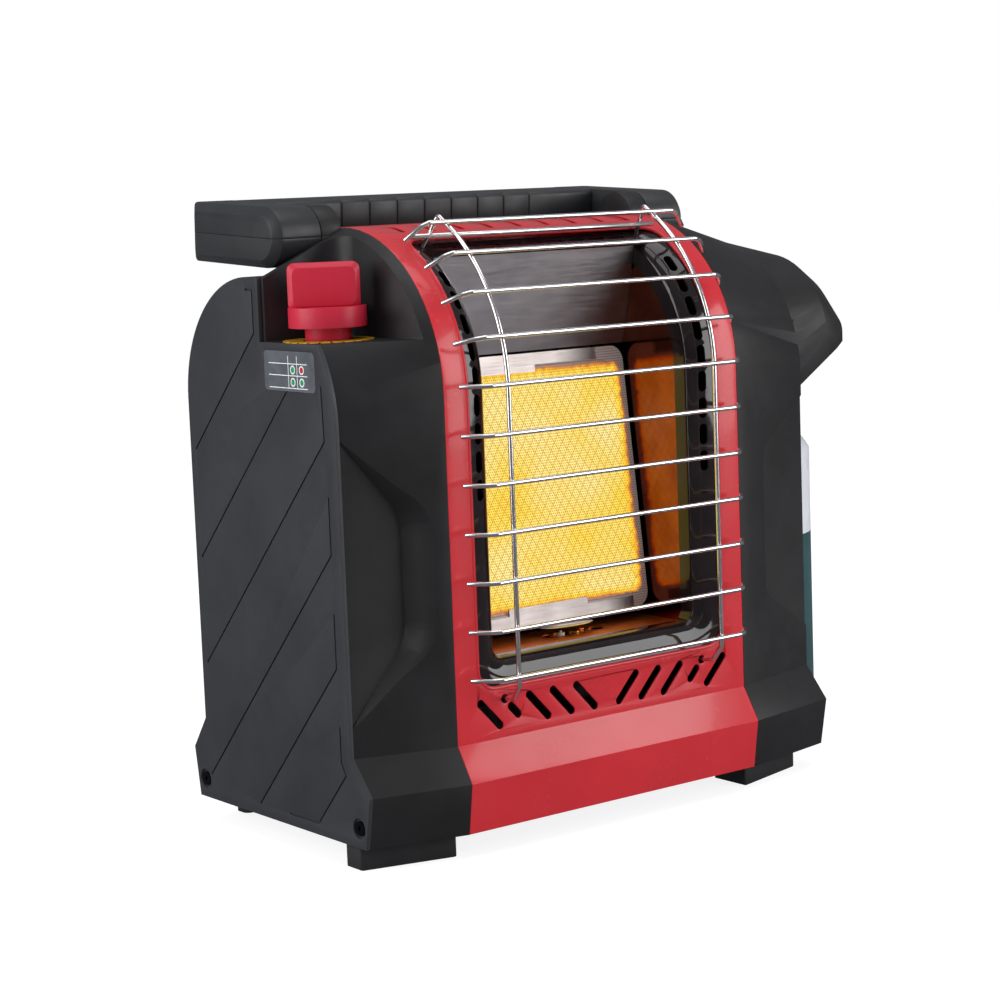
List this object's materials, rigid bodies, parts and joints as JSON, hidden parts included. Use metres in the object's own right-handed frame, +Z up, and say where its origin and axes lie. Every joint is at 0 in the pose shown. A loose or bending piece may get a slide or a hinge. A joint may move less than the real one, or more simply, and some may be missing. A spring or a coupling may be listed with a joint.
{
  "type": "portable propane heater",
  "caption": "Portable radiant gas heater: hooded case with a wire-guarded glowing burner tile, folding carrying handle, corner control knob and a gas bottle under one shoulder.",
  "frame": {"origin": "middle of the bounding box in plan, on the floor under the feet", "axes": "+X to the right of someone who faces the fire; +Y from the fire to the back; +Z up"},
  "size_m": [0.3864, 0.2062, 0.3618],
  "materials": {
    "red_enamel": "gloss red coat on sheet steel",
    "black_enamel": "gloss black vitreous enamel on pressed steel",
    "mirror_steel": "polished stainless reflector sheet",
    "steel_sheet": "plain rolled steel sheet",
    "ceramic_glow": "glowing perforated burner tile",
    "porcelain": "insulator porcelain",
    "chrome_wire": "bright plated wire",
    "brass": "machined brass",
    "copper": "drawn copper tube",
    "housing_plastic": "fine-textured black moulded plastic",
    "panel_plastic": "fine-textured charcoal moulded plastic",
    "knob_plastic": "crimson moulded plastic",
    "yellow_print": "yellow printed ring",
    "plate_print": null,
    "foot_rubber": "black rubber",
    "green_paint": "dark green coat with a pale band",
    "zinc_steel": "zinc plated steel"
  },
  "bodies": {
    "chassis": {"front_panel": "red_enamel", "inner_frame": "black_enamel", "reflector_upper": "mirror_steel", "reflector_left": "mirror_steel", "reflector_right": "mirror_steel", "reflector_pan": "mirror_steel", "burner_box": "steel_sheet", "ceramic_tile": "ceramic_glow", "tile_rim": "steel_sheet", "tile_clips": "steel_sheet", "venturi": "steel_sheet", "jet_holder": "brass", "pilot_burner": "brass", "pilot_shield": "mirror_steel", "thermocouple": "copper", "spark_electrode": "porcelain", "gas_valve": "brass", "igniter": "housing_plastic", "dial_ring": "yellow_print", "manifold_pipe": "copper", "burner_pipe": "copper", "pilot_pipe": "copper", "tip_switch": "housing_plastic", "heat_shield": "steel_sheet", "guard_crossbars": "chrome_wire", "guard_uprights": "chrome_wire", "left_housing": "housing_plastic", "left_side_panel": "panel_plastic", "rating_plate": "plate_print", "right_housing": "housing_plastic", "alcove_wall": "panel_plastic", "back_cover": "housing_plastic", "base_plate": "steel_sheet", "front_feet": "foot_rubber", "rear_feet": "foot_rubber", "pivot_bosses": "housing_plastic", "pivot_pins": "zinc_steel", "regulator_bracket": "zinc_steel", "regulator_pin": "zinc_steel", "side_screws": "zinc_steel", "back_screws": "zinc_steel"},
    "handle": {"handle_upper": "housing_plastic", "handle_lower": "housing_plastic", "handle_screws": "zinc_steel"},
    "spindle": {"valve_spindle": "zinc_steel", "knob_spring": "zinc_steel"},
    "knob": {"control_knob": "knob_plastic"},
    "regulator": {"regulator": "zinc_steel"},
    "bottle": {"gas_bottle": "green_paint", "bottle_valve": "brass"}
  },
  "joints": [
    {"name": "handle_fold", "type": "hinge", "parent": "chassis", "child": "handle", "pos_m": [0, 0.02326, 0.3407], "axis": [1, 0, 0], "range_deg": [0, 90]},
    {"name": "knob_turn", "type": "hinge", "parent": "chassis", "child": "spindle", "pos_m": [-0.1668, -0.02364, 0.2845], "axis": [0, 0, 1], "range_deg": [-180, 0]},
    {"name": "knob_push", "type": "slide", "parent": "spindle", "child": "knob", "axis": [0, 0, -1], "range_m": [0, 0.004], "stiffness_N_per_m": 400, "springref_m": -0.002, "deforming": ["knob_spring"]},
    {"name": "regulator_swing", "type": "hinge", "parent": "chassis", "child": "regulator", "pos_m": [0.1222, -0.00864, 0.272], "axis": [0, -1, 0], "range_deg": [0, 35]},
    {"name": "bottle_unscrew", "type": "slide", "parent": "regulator", "child": "bottle", "axis": [0, 0, -1], "range_m": [0, 0.012]}
  ]
}
